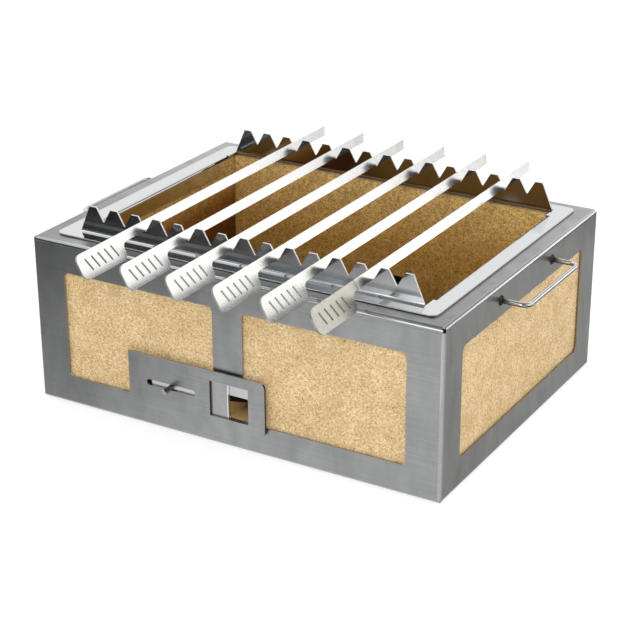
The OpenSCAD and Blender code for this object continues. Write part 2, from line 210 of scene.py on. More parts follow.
def card(name, corners, tones, along=0, strength=1.0):
    """A card for glossy rays, from its four corners. Its tone runs through (place, colour) stops, with the
    places in metres along x (0) or y (1)."""
    sheet = flat_sheet(name, corners)
    finish = bpy.data.materials.new(name)
    finish.use_nodes = True
    tree = finish.node_tree
    tree.nodes.clear()
    spot = add(tree, "ShaderNodeSeparateXYZ", {0: add(tree, "ShaderNodeTexCoord").outputs["Object"]})
    low, high = tones[0][0], tones[-1][0]
    share = add(tree, "ShaderNodeMapRange", {"Value": spot.outputs[along], "From Min": low, "From Max": high})
    stops = [((place - low) / (high - low), code) for place, code in tones]
    tone = add(tree, "ShaderNodeValToRGB", {0: share.outputs[0]}, stops=stops)
    glow = add(tree, "ShaderNodeEmission", {"Color": tone.outputs[0], "Strength": strength})
    add(tree, "ShaderNodeOutputMaterial", {"Surface": glow.outputs[0]})
    sheet.data.materials.append(finish)
    for kind in HIDDEN_FROM:
        setattr(sheet, "visible_" + kind, False)
    return sheet


print("cards are hidden from", len(HIDDEN_FROM), "kinds of ray")

# %% [markdown]
# The front wall mirrors the floor before it, so three cards lie there and get lighter to the right, as the wall
# does in the picture. The one nearest to the wall serves its lower part, and the dark one the toothed rails.
# Further out a standing card gives the folded edges their dark left end, and a low strip the bright line on the
# bend above the wall. A dark card on the right ends that line.

# %% Cards in front
card("near_card", lying((-1.4, 0.6), (-0.36, -0.1756)),
     ((-0.60, "#545454"), (-0.495, "#777777"), (-0.343, "#969696"), (-0.19, "#b4b4b4"), (-0.148, "#c8c8c8"),
      (-0.05, "#e2e2e2")))
card("middle_card", lying((-1.4, 0.6), (-0.525, -0.36)),
     ((-0.60, "#555555"), (-0.495, "#7a7a7a"), (-0.343, "#a0a0a0"), (-0.19, "#c8c8c8"), (-0.148, "#dcdcdc"),
      (-0.05, "#fafafa")))
card("far_card", lying((-1.4, 0.6), (-1.5, -0.525)),
     ((-0.51, "#1c1c1c"), (-0.40, "#2a2a2a"), (-0.242, "#4a4a4a"), (-0.09, "#a0a0a0"), (-0.03, "#c0c0c0"),
      (0.05, "#dcdcdc")))
card("standing_card", standing((-4, -0.3), (0, 2.4), -2.6),
     ((-2.14, "#383838"), (-1.6, "#505255"), (-1.35, "#8d98a0"), (-1.2, "#aeb6bc"), (-1.05, "#f3f3f3")))
card("low_strip", standing((-1.15, 0.4), (0.05, 1.3), -2.5),
     ((-1.15, "#808080"), (-0.9, "#ffffff"), (0.4, "#ffffff")), strength=2.4)
card("dark_card", standing((0.4, 4.5), (0, 2.4), -2.4), ((0.4, "#2e2e30"), (4.5, "#2e2e30")))
print("six cards in front")

# %% [markdown]
# The right wall mirrors the floor beside it, and a low shade keeps the foot of its bend dark. The skewers lean
# to the right and mirror what stands behind the grill on that side: a white card for the blades, a greyer one
# for the plates, and one with bands for the tips.

# %% Cards on the right and behind
card("right_card", lying((0.2281, 1.2), (-0.6, 1.4)),
     ((-0.6, "#a4a4a1"), (0.47, "#c1c1be"), (0.65, "#808080"), (1.4, "#707070")), along=1)
card("wall_shade", standing((0.35, 2.2), (0, 0.27), 1.47), ((0.35, "#707070"), (2.2, "#707070")))
card("tip_card", [(0.1, 1.0, 0.31), (0.695, 1.0, 0.31), (0.338, 1.0, 0.55), (0.1, 1.0, 0.55)],
     ((0.36, "#c8c8c8"), (0.44, "#8c8c8c"), (0.50, "#b4b4b4"), (0.60, "#949494")))
card("blade_card", standing((0.72, 2.2), (0.38, 1.02), 1.75),
     ((0.72, "#ffffff"), (1.30, "#ffffff"), (1.5, "#fdfdf8"), (2.2, "#fdfdf8")), strength=1.24)
card("plate_card", standing((1.38, 1.9), (0.30, 0.71), 1.72), ((1.38, "#b0b0ac"), (1.9, "#8c8c88")))
print("five cards on the right and behind")

# %% [markdown]
# The bends are a few millimetres wide, and each mirrors a long arc of the room. A strip of light in a dark
# stretch of that arc draws the crisp line that folded steel shows. One hangs over the left, for the front bend.
# One stands behind on the right, for the bend above the right wall, with a shade over it and a dark ceiling.

# %% Strips of light and shades for the bends
card("strip_along_y", lying((-1.7, -1.1), (0.15, 1.2), 1.9), ((-1.7, "#ffffff"), (-1.1, "#ffffff")),
     strength=1.6)
card("dark_ceiling", lying((-1.05, 1.8), (-3.0, 0.9), 2.1), ((-1.05, "#8c8c8c"), (1.8, "#8c8c8c")))
card("right_strip", standing((0.95, 1.46), (0.30, 0.50), 1.7), ((0.95, "#ffffff"), (1.46, "#ffffff")),
     strength=3.0)
card("bend_shade", standing((0.2, 1.0), (1.03, 1.7), 1.7), ((0.2, "#8c8c8c"), (1.0, "#8c8c8c")))
print("two strips of light and two shades")

# %% [markdown]
# Three soft boxes light the boards and lay the grill's soft shadow on the floor. The metal doesn't mirror them,
# because a second image of each would cross the lines that the strips draw.

# %% Soft boxes


def soft_lamp(name, spot, aim, size, watts):
    """A square soft box at a spot, turned towards a point: its own z axis points away from the point."""
    lamp = bpy.data.objects.new(name, bpy.data.lights.new(name, "AREA"))
    lamp.data.size = size
    lamp.data.energy = watts
    lamp.visible_glossy = False
    away = np.subtract(spot, aim)
    away = away / np.linalg.norm(away)
    side = np.cross([0, 0, 1], away)
    side /= np.linalg.norm(side)
    turn = np.eye(4)
    turn[:3, 0], turn[:3, 1], turn[:3, 2], turn[:3, 3] = side, np.cross(away, side), away, spot
    lamp.matrix_world = Matrix(turn.tolist())
    scene.collection.objects.link(lamp)
    return lamp


soft_lamp("front_box", (0.9, -2.0, 1.5), (0, 0, 0.1), 1.2, 25)
soft_lamp("right_box", (2.0, 0.3, 1.0), (0.2, 0, 0.1), 1.2, 9)
soft_lamp("top_box", (-0.8, 0.6, 2.0), (0, 0, 0.1), 1.4, 14)
print("three soft boxes")

# %% [markdown]
# ## Brushed stainless steel
#
# The casing, the vent cover, the shutter and the base are stainless sheet, type 304, brushed on a belt and laser
# cut. The belt leaves fine parallel scratches, which spread a highlight across them. The walls are folded down
# from one sheet, so the scratches run along x on the top, front and back, and upright on the side walls. Real
# scratches are about 0.1 mm wide, too fine for the picture, so they are drawn about 0.8 mm wide.

# %% The grain of a folded sheet
GRAIN_WIDE = 0.8 * MM
GRAIN_LONG = 70 * MM


def shaded_material(name, **values):
    """A new material with one Principled shader, whose uniform values stand on its own sockets."""
    finish = bpy.data.materials.new(name)
    finish.use_nodes = True
    tree = finish.node_tree
    tree.nodes.clear()
    shader = add(tree, "ShaderNodeBsdfPrincipled", {key.replace("_", " "): v for key, v in values.items()})
    add(tree, "ShaderNodeOutputMaterial", {"Surface": shader.outputs[0]})
    return finish, tree, shader


def folded_grain(tree):
    """Place on the sheet, in scratches: x / long, y / wide, and z / wide or, on a side wall, z / long."""
    spot = add(tree, "ShaderNodeTexCoord")
    at = add(tree, "ShaderNodeSeparateXYZ", {0: spot.outputs["Object"]})
    facing = add(tree, "ShaderNodeSeparateXYZ", {0: spot.outputs["Normal"]})
    aside = add(tree, "ShaderNodeMath", {0: facing.outputs[0]}, operation="ABSOLUTE")
    wall = add(tree, "ShaderNodeMath", {0: aside.outputs[0], 1: 0.7}, operation="GREATER_THAN")
    rate = add(tree, "ShaderNodeMapRange",
               {"Value": wall.outputs[0], "To Min": 1 / GRAIN_WIDE, "To Max": 1 / GRAIN_LONG})
    x = add(tree, "ShaderNodeMath", {0: at.outputs[0], 1: 1 / GRAIN_LONG}, operation="MULTIPLY")
    y = add(tree, "ShaderNodeMath", {0: at.outputs[1], 1: 1 / GRAIN_WIDE}, operation="MULTIPLY")
    z = add(tree, "ShaderNodeMath", {0: at.outputs[2], 1: rate.outputs[0]}, operation="MULTIPLY")
    return add(tree, "ShaderNodeCombineXYZ", {0: x.outputs[0], 1: y.outputs[0], 2: z.outputs[0]})


print("scratches", round(GRAIN_WIDE * 1000, 1), "mm wide")

# %% [markdown]
# Worn, rubbed or heated places have a tone of their own. Two helpers paint them: the first is 1 inside a box of
# the object's own space, and the second lays a tone over the colour so far.

# %% Masks and overlays


def inside_box(tree, low, high):
    """1 inside the box between two corners, else 0: the largest of |place - middle| - half size is below 0."""
    low, high = np.array(low, float), np.array(high, float)
    spot = add(tree, "ShaderNodeTexCoord")
    off = add(tree, "ShaderNodeVectorMath", {0: spot.outputs["Object"], 1: tuple((low + high) / 2)},
              operation="SUBTRACT")
    off = add(tree, "ShaderNodeVectorMath", {0: off.outputs[0]}, operation="ABSOLUTE")
    half_size = tuple((high - low) / 2)
    off = add(tree, "ShaderNodeVectorMath", {0: off.outputs[0], 1: half_size}, operation="SUBTRACT")
    past = add(tree, "ShaderNodeSeparateXYZ", {0: off.outputs[0]})
    most = add(tree, "ShaderNodeMath", {0: past.outputs[0], 1: past.outputs[1]}, operation="MAXIMUM")
    most = add(tree, "ShaderNodeMath", {0: most.outputs[0], 1: past.outputs[2]}, operation="MAXIMUM")
    return add(tree, "ShaderNodeMath", {0: most.outputs[0], 1: 0.0}, operation="LESS_THAN").outputs[0]


def lay_over(tree, shader, share, code, how="MIX"):
    """Lays a tone over the colour so far, where the share is 1."""
    so_far = shader.inputs["Base Color"].links[0].from_socket
    mixed = add(tree, "ShaderNodeMix", {0: share, 6: so_far, 7: code}, data_type="RGBA", blend_type=how)
    tree.links.new(mixed.outputs[2], shader.inputs["Base Color"])


print("inside_box and lay_over are ready")

# %% [markdown]
# One function makes every brushed finish. On a flat face one part of the normal is nearly 1, and on a bend none
# is, which is how the shader finds the bends: the press has burnished them, so they are smoother. The bends are
# also painted paler, a painted highlight, less on the front and back bends than on the side ones.

# %% A brushed finish
SMUDGE = 60 * MM
SMEAR_WIDE = 25 * MM
SMEAR_LONG = 55 * MM
FLAT_NORMAL = 0.985
SIDE_NORMAL = 0.15
BURNISHED = 0.17


def brushed_steel(name, dark, light, rough):
    """Brushed sheet: scratches move the colour between two greys and lift the surface a little. Hand smudges
    change the roughness, and upright smears the tone. On the bends the roughness is the press's own."""
    finish, tree, shader = shaded_material(name, Metallic=1.0, Anisotropic=0.35)
    grain = folded_grain(tree)
    scratch = add(tree, "ShaderNodeTexNoise", {"Vector": grain.outputs[0], "Scale": 1.0, "Detail": 3.0,
                                               "Roughness": 0.65})
    spot = add(tree, "ShaderNodeTexCoord")
    smudge = add(tree, "ShaderNodeTexNoise", {"Vector": spot.outputs["Object"], "Scale": 1 / SMUDGE,
                                              "Detail": 4.0, "Roughness": 0.55})
    tone = add(tree, "ShaderNodeValToRGB", {0: scratch.outputs[0]}, stops=((0.3, dark), (0.7, light)))
    add_up = add(tree, "ShaderNodeMath", {0: scratch.outputs[0], 1: smudge.outputs[0]}, operation="ADD")
    matt = add(tree, "ShaderNodeMapRange", {"Value": add_up.outputs[0], "From Min": 0.6, "From Max": 1.4,
                                            "To Min": rough - 0.05, "To Max": rough + 0.07})
    relief = add(tree, "ShaderNodeBump", {"Height": scratch.outputs[0], "Strength": 0.12,
                                          "Distance": 0.1 * MM})
    rates = (1 / SMEAR_WIDE, 1 / SMEAR_WIDE, 1 / SMEAR_LONG)
    drawn = add(tree, "ShaderNodeVectorMath", {0: spot.outputs["Object"], 1: rates}, operation="MULTIPLY")
    smear = add(tree, "ShaderNodeTexNoise", {"Vector": drawn.outputs[0], "Scale": 1.0, "Detail": 5.0,
                                             "Roughness": 0.6, "Distortion": 0.5})
    shade = add(tree, "ShaderNodeMapRange", {"Value": smear.outputs[0], "From Min": 0.3, "From Max": 0.7,
                                             "To Min": 0.86, "To Max": 1.12})
    smeared = add(tree, "ShaderNodeVectorMath", {0: tone.outputs[0], "Scale": shade.outputs[0]},
                  operation="SCALE")
    flatness = add(tree, "ShaderNodeVectorMath", {0: spot.outputs["Normal"]}, operation="ABSOLUTE")
    flatness = add(tree, "ShaderNodeSeparateXYZ", {0: flatness.outputs[0]})
    most = add(tree, "ShaderNodeMath", {0: flatness.outputs[0], 1: flatness.outputs[1]}, operation="MAXIMUM")
    most = add(tree, "ShaderNodeMath", {0: most.outputs[0], 1: flatness.outputs[2]}, operation="MAXIMUM")
    bend = add(tree, "ShaderNodeMath", {0: most.outputs[0], 1: FLAT_NORMAL}, operation="LESS_THAN")
    pressed = add(tree, "ShaderNodeMix", {0: bend.outputs[0], 2: matt.outputs[0], 3: BURNISHED})
    tree.links.new(smeared.outputs[0], shader.inputs["Base Color"])
    tree.links.new(pressed.outputs[0], shader.inputs["Roughness"])
    tree.links.new(relief.outputs[0], shader.inputs["Normal"])
    # Bends are painted paler, a painted highlight; the front and back bends get the darker grey, a painted shade
    # that dims their line.
    to_side = add(tree, "ShaderNodeMath", {0: flatness.outputs[0], 1: SIDE_NORMAL},
                  operation="GREATER_THAN")
    bend_painted_highlight = add(tree, "ShaderNodeMix", {0: to_side.outputs[0], 6: "#b8b9b9", 7: "#cccdcd"}, data_type="RGBA")
    lay_over(tree, shader, bend.outputs[0], bend_painted_highlight.outputs[2])
    return finish


def finish_nodes(finish, *names):
    """Gives a finish to CAD solids, through their own material slots."""
    for name in names:
        for slot in nodes[name].material_slots:
            slot.material = finish


print("the bends are at roughness", BURNISHED)

# %% [markdown]
# The casing's sheet shows three more things. Its foot is painted a little darker, a painted shade where it meets
# the table. Its top is painted darker at the two ends, near the front, a painted shade. And the strip that the
# vent window leaves open is painted paler, a painted highlight.

# %% The casing's finish
FLOOR_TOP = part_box("floor_board")[1].z
CASING_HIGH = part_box("outer_casing")[1]
FOOT_SHADE_FADE = (1.5 * MM, 5 * MM)
TOP_SHADE_FRONT = -CASING_HIGH.y
TOP_SHADE_BACK = 100 * MM
TOP_SHADE_ENDS = (175 * MM, 215 * MM)
BRIGHT_X = (-35 * MM, 30 * MM)
BRIGHT_HIGH = 40 * MM
BRIGHT_DEEP = 8 * MM

casing_steel = brushed_steel("brushed_304_sheet", "#a6a7a8", "#b6b7b7", 0.33)
tree = casing_steel.node_tree
shader = tree.nodes["Principled BSDF"]
spot = add(tree, "ShaderNodeTexCoord")
at = add(tree, "ShaderNodeSeparateXYZ", {0: spot.outputs["Object"]})
# The foot is painted darker, a painted shade where the sheet meets the table.
foot_painted_shade = add(tree, "ShaderNodeMapRange", {"Value": at.outputs[2], "From Min": FOOT_SHADE_FADE[0],
                                        "From Max": FOOT_SHADE_FADE[1], "To Min": 1.0, "To Max": 0.0})
lay_over(tree, shader, foot_painted_shade.outputs[0], "#949596")
facing = add(tree, "ShaderNodeSeparateXYZ", {0: spot.outputs["Normal"]})
# The top is painted darker near the front at both ends, a painted shade.
on_top = add(tree, "ShaderNodeMath", {0: facing.outputs[2], 1: 0.9}, operation="GREATER_THAN")
ahead = add(tree, "ShaderNodeMapRange", {"Value": at.outputs[1], "From Min": TOP_SHADE_BACK,
                                         "From Max": TOP_SHADE_FRONT})
aside = add(tree, "ShaderNodeMath", {0: at.outputs[0]}, operation="ABSOLUTE")
end_strip = add(tree, "ShaderNodeMapRange", {"Value": aside.outputs[0], "From Min": TOP_SHADE_ENDS[0],
                                             "From Max": TOP_SHADE_ENDS[1]})
top_painted_shade = add(tree, "ShaderNodeMath", {0: on_top.outputs[0], 1: ahead.outputs[0]}, operation="MULTIPLY")
top_painted_shade = add(tree, "ShaderNodeMath", {0: top_painted_shade.outputs[0], 1: end_strip.outputs[0]}, operation="MULTIPLY")
lay_over(tree, shader, top_painted_shade.outputs[0], "#d8d8d8", how="MULTIPLY")
# The sheet behind the vent window is painted paler, a painted highlight.
behind_window = [inside_box(tree, (BRIGHT_X[0], wall - BRIGHT_DEEP, FLOOR_TOP),
                            (BRIGHT_X[1], wall + BRIGHT_DEEP, FLOOR_TOP + BRIGHT_HIGH))
                 for wall in (-CASING_HIGH.y, CASING_HIGH.y)]
window_strip_painted_highlight = add(tree, "ShaderNodeMath", {0: behind_window[0], 1: behind_window[1]}, operation="MAXIMUM")
lay_over(tree, shader, window_strip_painted_highlight.outputs[0], "#dfe0e1")
finish_nodes(casing_steel, "outer_casing", "base_plate", "lower_guide_strip", "upper_guide_strip",
             "back_lower_guide_strip", "back_upper_guide_strip")
print("floor board's top at", round(FLOOR_TOP * 1000, 1), "mm")

# %% [markdown]
# The cover is the same sheet. Its right end face is painted dark brown, a painted shadow of the gap behind it.
# The shutter is paler. A band along the slot is painted paler still, a painted highlight, and the free end of
# the sheet is painted white, a painted highlight line.

# %% The covers and the shutters
stud_low, stud_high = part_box("shutter_stud")
SLOT_X = (stud_low.x + stud_high.x) / 2
SLOT_Z = (stud_low.z + stud_high.z) / 2
SLOT_BAND_HALF = (32 * MM, 5 * MM)
EVERY_Y = 0.3
END_LINE_WIDE = 1.2 * MM

cover_steel = brushed_steel("brushed_304_cover", "#a6a7a8", "#b6b7b7", 0.31)
tree = cover_steel.node_tree
shader = tree.nodes["Principled BSDF"]
spot = add(tree, "ShaderNodeTexCoord")
facing = add(tree, "ShaderNodeSeparateXYZ", {0: spot.outputs["Normal"]})
# The cover's right end face is painted dark brown, a painted shadow of the gap behind it.
cover_end_painted_shadow = add(tree, "ShaderNodeMath", {0: facing.outputs[0], 1: 0.6}, operation="GREATER_THAN")
lay_over(tree, shader, cover_end_painted_shadow.outputs[0], "#4a3d2e")

shutter_steel = brushed_steel("brushed_304_shutter", "#b4b5b5", "#c6c6c5", 0.30)
tree = shutter_steel.node_tree
shader = tree.nodes["Principled BSDF"]
# A band along the slot is painted paler, a painted highlight.
slot_band_painted_highlight = inside_box(tree, (SLOT_X - SLOT_BAND_HALF[0], -EVERY_Y, SLOT_Z - SLOT_BAND_HALF[1]),
                    (SLOT_X + SLOT_BAND_HALF[0], EVERY_Y, SLOT_Z + SLOT_BAND_HALF[1]))
lay_over(tree, shader, slot_band_painted_highlight, "#f2f2f0")
# The shutter's free end is painted white, a painted highlight line.
for name in ("vent_shutter", "back_vent_shutter"):
    low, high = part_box(name)
    end_painted_highlight = inside_box(tree, (high.x - END_LINE_WIDE, low.y - MM, 0), (high.x + MM, high.y + MM, high.z))
    lay_over(tree, shader, end_painted_highlight, "#ffffff")

finish_nodes(cover_steel, "vent_cover", "back_vent_cover")
finish_nodes(shutter_steel, "vent_shutter", "back_vent_shutter")
print("slot at x", round(SLOT_X * 1000, 1), "z", round(SLOT_Z * 1000, 1))

# %% [markdown]
# ## Polished stainless steel
#
# The toothed frame is polished sheet. It mirrors its own teeth in the strip in front of them. Polished steel
# still shows where a cloth wiped it, as soft clouds in the gloss.

# %% Wipe marks


def wipe_marks(tree, size):
    """Soft clouds of a size along x, and that size / 2.2 across, as a cloth leaves on polished steel."""
    spot = add(tree, "ShaderNodeTexCoord")
    rates = (1 / size, 2.2 / size, 2.2 / size)
    drawn = add(tree, "ShaderNodeVectorMath", {0: spot.outputs["Object"], 1: rates}, operation="MULTIPLY")
    return add(tree, "ShaderNodeTexNoise", {"Vector": drawn.outputs[0], "Scale": 1.0, "Detail": 3.0,
                                            "Roughness": 0.5})


print("wipe_marks is ready")

# %% [markdown]
# The laser leaves every cut edge matt and pale, which draws a light line along each flank and round the flange.
# The shader tells a cut edge by where it is and how it faces: above the flange it faces neither front nor back,
# and on the flange it faces sideways, outside the folds. The lower part of the flange's edge is painted dark, a
# painted shadow in the joint under it, darker at the front than at the sides. The back rail's front face is
# painted darker, a painted shade in what it mirrors.

# %% The toothed frame's finish
FLANGE_TOP = 178 * MM
FLANGE_RIM = 9 * MM
JOINT_SHADOW_FADE = (1.3 * MM, 0.9 * MM)
BACK_HALF = 0.1

polished, tree, shader = shaded_material("polished_304_sheet", Metallic=1.0)
marks = wipe_marks(tree, 30 * MM)
spot = add(tree, "ShaderNodeTexCoord")
at = add(tree, "ShaderNodeSeparateXYZ", {0: spot.outputs["Object"]})
facing = add(tree, "ShaderNodeSeparateXYZ", {0: spot.outputs["Normal"]})
turned_to = [add(tree, "ShaderNodeMath", {0: facing.outputs[axis]}, operation="ABSOLUTE") for axis in range(3)]
reach = [add(tree, "ShaderNodeMath", {0: at.outputs[axis]}, operation="ABSOLUTE") for axis in range(2)]
across = add(tree, "ShaderNodeMath", {0: turned_to[1].outputs[0], 1: 0.1}, operation="LESS_THAN")
above_it = add(tree, "ShaderNodeMath", {0: at.outputs[2], 1: FLANGE_TOP + 1 * MM}, operation="GREATER_THAN")
tooth_edge = add(tree, "ShaderNodeMath", {0: across.outputs[0], 1: above_it.outputs[0]}, operation="MULTIPLY")
upright_face = add(tree, "ShaderNodeMath", {0: turned_to[2].outputs[0], 1: 0.5}, operation="LESS_THAN")
beyond = [add(tree, "ShaderNodeMath", {0: reach[axis].outputs[0], 1: edge - FLANGE_RIM},
              operation="GREATER_THAN") for axis, edge in enumerate(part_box("skewer_frame")[1][:2])]
outside = add(tree, "ShaderNodeMath", {0: beyond[0].outputs[0], 1: beyond[1].outputs[0]}, operation="MAXIMUM")
rim_edge = add(tree, "ShaderNodeMath", {0: upright_face.outputs[0], 1: outside.outputs[0]},
               operation="MULTIPLY")
cut = add(tree, "ShaderNodeMath", {0: tooth_edge.outputs[0], 1: rim_edge.outputs[0]}, operation="MAXIMUM")
sheen = add(tree, "ShaderNodeMapRange", {"Value": marks.outputs[0], "From Min": 0.3, "From Max": 0.7,
                                         "To Min": 0.07, "To Max": 0.14})
matt = add(tree, "ShaderNodeMix", {0: cut.outputs[0], 2: sheen.outputs[0], 3: 0.5})
tree.links.new(matt.outputs[0], shader.inputs["Roughness"])
tone = add(tree, "ShaderNodeMix", {0: cut.outputs[0], 6: "#dddedf", 7: "#f6f4f0"}, data_type="RGBA")
tree.links.new(tone.outputs[2], shader.inputs["Base Color"])
# The back rail's front face is painted darker, a painted shade in what it mirrors.
behind = add(tree, "ShaderNodeMath", {0: at.outputs[1], 1: BACK_HALF}, operation="GREATER_THAN")
ahead = add(tree, "ShaderNodeMath", {0: facing.outputs[1], 1: -0.5}, operation="LESS_THAN")
back_rail_painted_shade = add(tree, "ShaderNodeMath", {0: behind.outputs[0], 1: ahead.outputs[0]}, operation="MULTIPLY")
lay_over(tree, shader, back_rail_painted_shade.outputs[0], "#c3c4c6")
# The lower part of the flange's edge is painted dark, a painted shadow of the joint under it.
low_edge = add(tree, "ShaderNodeMapRange", {"Value": at.outputs[2], "From Min": FLANGE_TOP - JOINT_SHADOW_FADE[0],
                                            "From Max": FLANGE_TOP - JOINT_SHADOW_FADE[1], "To Min": 1.0,
                                            "To Max": 0.0})
joint_shadow_share = add(tree, "ShaderNodeMath", {0: low_edge.outputs[0], 1: rim_edge.outputs[0]}, operation="MULTIPLY")
sideways = add(tree, "ShaderNodeMath", {0: turned_to[0].outputs[0], 1: 0.7}, operation="GREATER_THAN")
joint_painted_shadow = add(tree, "ShaderNodeMix", {0: sideways.outputs[0], 6: "#4c4c4e", 7: "#8f8f90"}, data_type="RGBA")
lay_over(tree, shader, joint_shadow_share.outputs[0], joint_painted_shadow.outputs[2])
finish_nodes(polished, "skewer_frame")
print("flange's top at", round(FLANGE_TOP * 1000, 1), "mm")

# %% [markdown]
# The skewers are ground flat and nearly white in this room. In their notches they lean, so the shader tells the
# flat faces from the cut edges by the blade's own leaning normal. The right-hand plate is a little darker.

# %% The skewers' finish
BLADE_RISE, BLADE_RUN = 8, 14
LEAN = math.atan2(BLADE_RISE, BLADE_RUN)
PLATE_END_Y = -170 * MM

skewer_steel, tree, shader = shaded_material("ground_304_skewer", Metallic=1.0)
marks = wipe_marks(tree, 18 * MM)
facing = add(tree, "ShaderNodeTexCoord")
blade_normal = (math.cos(LEAN), 0, math.sin(LEAN))
flat = add(tree, "ShaderNodeVectorMath", {0: facing.outputs["Normal"], 1: blade_normal},
           operation="DOT_PRODUCT")
flat = add(tree, "ShaderNodeMath", {0: flat.outputs["Value"]}, operation="ABSOLUTE")
cut = add(tree, "ShaderNodeMath", {0: flat.outputs[0], 1: 0.5}, operation="LESS_THAN")
sheen = add(tree, "ShaderNodeMapRange", {"Value": marks.outputs[0], "From Min": 0.3, "From Max": 0.7,
                                         "To Min": 0.22, "To Max": 0.26})
matt = add(tree, "ShaderNodeMix", {0: cut.outputs[0], 2: sheen.outputs[0], 3: 0.5})
tree.links.new(matt.outputs[0], shader.inputs["Roughness"])
tone = add(tree, "ShaderNodeValToRGB", {0: marks.outputs[0]}, stops=((0.35, "#faf9f6"), (0.65, "#fefdfb")))
tree.links.new(tone.outputs[0], shader.inputs["Base Color"])
lay_over(tree, shader, cut.outputs[0], "#c4c2bc")
last_low, last_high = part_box("skewer_6")
last_plate = inside_box(tree, last_low, (last_high.x, PLATE_END_Y, last_high.z))
lay_over(tree, shader, last_plate, "#d2d0c9", how="MULTIPLY")
finish_nodes(skewer_steel, *[f"skewer_{n}" for n in range(1, 7)])
print("the blades lean", round(math.degrees(LEAN), 1), "degrees")

# %% [markdown]
# ## Handle rod, stud and grate
#
# The handles are drawn round bar. The drawing die leaves faint lines along it, and the welder's heat leaves a
# straw and blue tint for a few millimetres from each root. The bar's underside is painted dark, a painted shade.

# %% Drawn bar
WALL = CASING_HIGH.x
HEAT_REACH = 9 * MM
DIE_LINES = 1.5 * MM

rod_steel, tree, shader = shaded_material("drawn_304_bar", Metallic=1.0)
spot = add(tree, "ShaderNodeTexCoord")
at = add(tree, "ShaderNodeSeparateXYZ", {0: spot.outputs["Object"]})
out = add(tree, "ShaderNodeMath", {0: at.outputs[0]}, operation="ABSOLUTE")
off_wall = add(tree, "ShaderNodeMapRange", {"Value": out.outputs[0], "From Min": WALL,
                                            "From Max": WALL + HEAT_REACH})
tint = add(tree, "ShaderNodeValToRGB", {0: off_wall.outputs[0]},
           stops=((0.0, "#37332f"), (0.25, "#4a494c"), (0.45, "#7a6a52"), (0.7, "#b3ac9c"), (1.0, "#dcdddd")))
drawn = add(tree, "ShaderNodeTexNoise", {"Vector": spot.outputs["Object"], "Scale": 1 / DIE_LINES,
                                         "Detail": 2.0})
sheen = add(tree, "ShaderNodeMapRange", {"Value": drawn.outputs[0], "To Min": 0.10, "To Max": 0.22})
tree.links.new(tint.outputs[0], shader.inputs["Base Color"])
tree.links.new(sheen.outputs[0], shader.inputs["Roughness"])
# The bar's underside is painted dark, a painted shade.
facing = add(tree, "ShaderNodeSeparateXYZ", {0: spot.outputs["Normal"]})
underside_painted_shade = add(tree, "ShaderNodeMapRange", {"Value": facing.outputs[2], "From Min": 0.05, "From Max": -0.35})
lay_over(tree, shader, underside_painted_shade.outputs[0], "#454340")
finish_nodes(rod_steel, "left_handle", "right_handle")
print("casing wall at", round(WALL * 1000, 1), "mm")

# %% [markdown]
# The stud is turned on a lathe, which leaves rings round it, and its side is painted darker than its faced end,
# a painted shade. The grate is plain steel with its dark mill scale: metal that shows through an oxide, hence
# partly metallic.

# %% Turned stud and mill scale
LATHE_RINGS = 6 * MM
SCALE_PATCH = 6 * MM

stud_steel, tree, shader = shaded_material("turned_304_stud", Metallic=1.0)
spot = add(tree, "ShaderNodeTexCoord")
turned = add(tree, "ShaderNodeTexWave", {"Vector": spot.outputs["Object"], "Scale": 1 / LATHE_RINGS,
                                         "Distortion": 0.4}, bands_direction="Y")
tone = add(tree, "ShaderNodeValToRGB", {0: turned.outputs[1]}, stops=((0.2, "#c2c3c3"), (0.8, "#dcdcda")))
sheen = add(tree, "ShaderNodeMapRange", {"Value": turned.outputs[1], "To Min": 0.16, "To Max": 0.3})
tree.links.new(tone.outputs[0], shader.inputs["Base Color"])
tree.links.new(sheen.outputs[0], shader.inputs["Roughness"])
# The stud's side is painted darker than its end, a painted shade.
facing = add(tree, "ShaderNodeSeparateXYZ", {0: spot.outputs["Normal"]})
end_on = add(tree, "ShaderNodeMath", {0: facing.outputs[1]}, operation="ABSOLUTE")
stud_side_painted_shade = add(tree, "ShaderNodeMath", {0: end_on.outputs[0], 1: 0.5}, operation="LESS_THAN")
lay_over(tree, shader, stud_side_painted_shade.outputs[0], "#85827d")
finish_nodes(stud_steel, "shutter_stud", "back_shutter_stud")

mill_steel, tree, shader = shaded_material("mill_scale_steel", Metallic=0.75)
spot = add(tree, "ShaderNodeTexCoord")
scale = add(tree, "ShaderNodeTexNoise", {"Vector": spot.outputs["Object"], "Scale": 1 / SCALE_PATCH,
                                         "Detail": 5.0, "Roughness": 0.6})
tone = add(tree, "ShaderNodeValToRGB", {0: scale.outputs[0]},
           stops=((0.3, "#2c2a29"), (0.55, "#4b4846"), (0.75, "#6a625b")))
matt = add(tree, "ShaderNodeMapRange", {"Value": scale.outputs[0], "To Min": 0.45, "To Max": 0.75})
relief = add(tree, "ShaderNodeBump", {"Height": scale.outputs[0], "Strength": 0.3, "Distance": 0.2 * MM})
tree.links.new(tone.outputs[0], shader.inputs["Base Color"])
tree.links.new(matt.outputs[0], shader.inputs["Roughness"])
tree.links.new(relief.outputs[0], shader.inputs["Normal"])
finish_nodes(mill_steel, "grate_frame", "grate_rods")
print("two turned studs and a grate")

# %% [markdown]
# ## Vermiculite board
#
# The lining is pressed vermiculite: flakes of a light mica, 1 to 3 mm across, in a binder. Each flake keeps its
# own tone, a few are dark and a few catch the light, so cells of random tone draw it well. A little noise bends
# the cells out of their straight edges.

# %% Flakes and specks
FLAKE = 1.4 * MM
SPECK = 1.0 * MM
WARP = 2 * MM
WARP_BY = 1.2 * MM
CLOUD = 25 * MM

